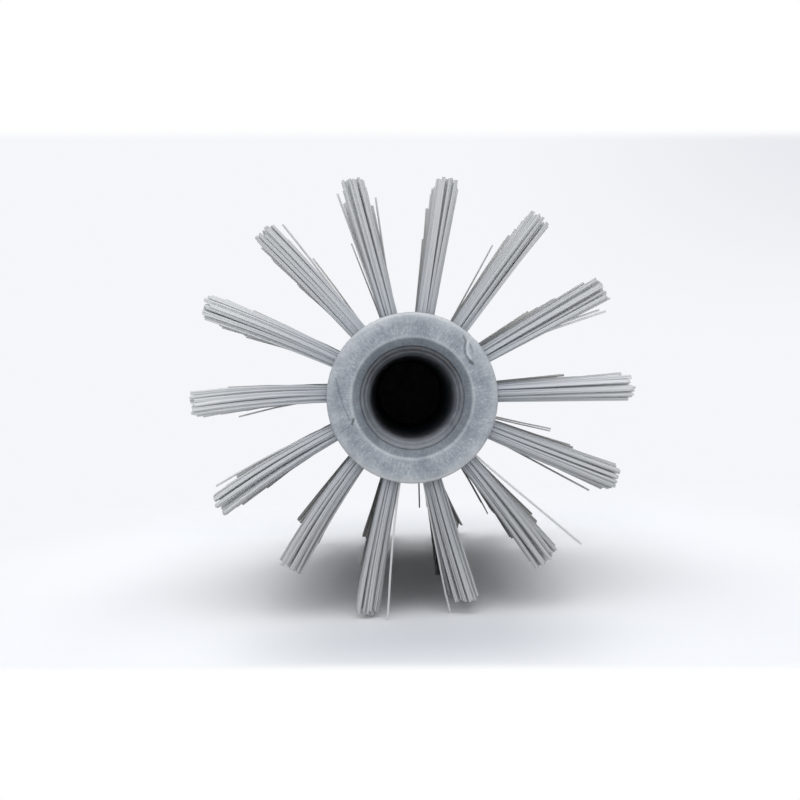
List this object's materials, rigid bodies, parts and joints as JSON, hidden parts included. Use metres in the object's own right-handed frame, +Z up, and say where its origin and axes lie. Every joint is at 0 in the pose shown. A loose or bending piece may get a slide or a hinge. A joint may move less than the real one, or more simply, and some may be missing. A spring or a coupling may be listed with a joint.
{
  "type": "roller brush",
  "caption": "Cylindrical cleaning brush: a turned plastic roller core with straight rows of flared pale nylon tufts, a stepped open end for an idler spigot and a slotted drive plug.",
  "frame": {"origin": "on the surface the roller stands on, under the middle of its length and of its width", "axes": "+Y along the roller from its open end to its drive end, +Z up, +X to the right seen from the open end"},
  "size_m": [0.131, 0.2, 0.1294],
  "materials": {
    "core_plastic": "turned grey plastic with radial tool marks",
    "bush_plastic": "turned dark grey plastic",
    "plug_plastic": "turned black plastic",
    "key_steel": "drawn pin",
    "bristle_nylon": "translucent pale grey filament",
    "anchor_steel": "flat wire"
  },
  "bodies": {
    "root": {"core": "core_plastic", "end_bush": "bush_plastic", "drive_plug": "plug_plastic", "plug_keys": "key_steel", "tuft_row_01": "bristle_nylon", "tuft_row_02": "bristle_nylon", "tuft_row_03": "bristle_nylon", "tuft_row_04": "bristle_nylon", "tuft_row_05": "bristle_nylon", "tuft_row_06": "bristle_nylon", "tuft_row_07": "bristle_nylon", "tuft_row_08": "bristle_nylon", "tuft_row_09": "bristle_nylon", "tuft_row_10": "bristle_nylon", "tuft_row_11": "bristle_nylon", "tuft_row_12": "bristle_nylon", "tuft_row_13": "bristle_nylon", "tuft_row_14": "bristle_nylon", "anchors_row_01": "anchor_steel", "anchors_row_02": "anchor_steel", "anchors_row_03": "anchor_steel", "anchors_row_04": "anchor_steel", "anchors_row_05": "anchor_steel", "anchors_row_06": "anchor_steel", "anchors_row_07": "anchor_steel", "anchors_row_08": "anchor_steel", "anchors_row_09": "anchor_steel", "anchors_row_10": "anchor_steel", "anchors_row_11": "anchor_steel", "anchors_row_12": "anchor_steel", "anchors_row_13": "anchor_steel", "anchors_row_14": "anchor_steel"}
  },
  "joints": []
}
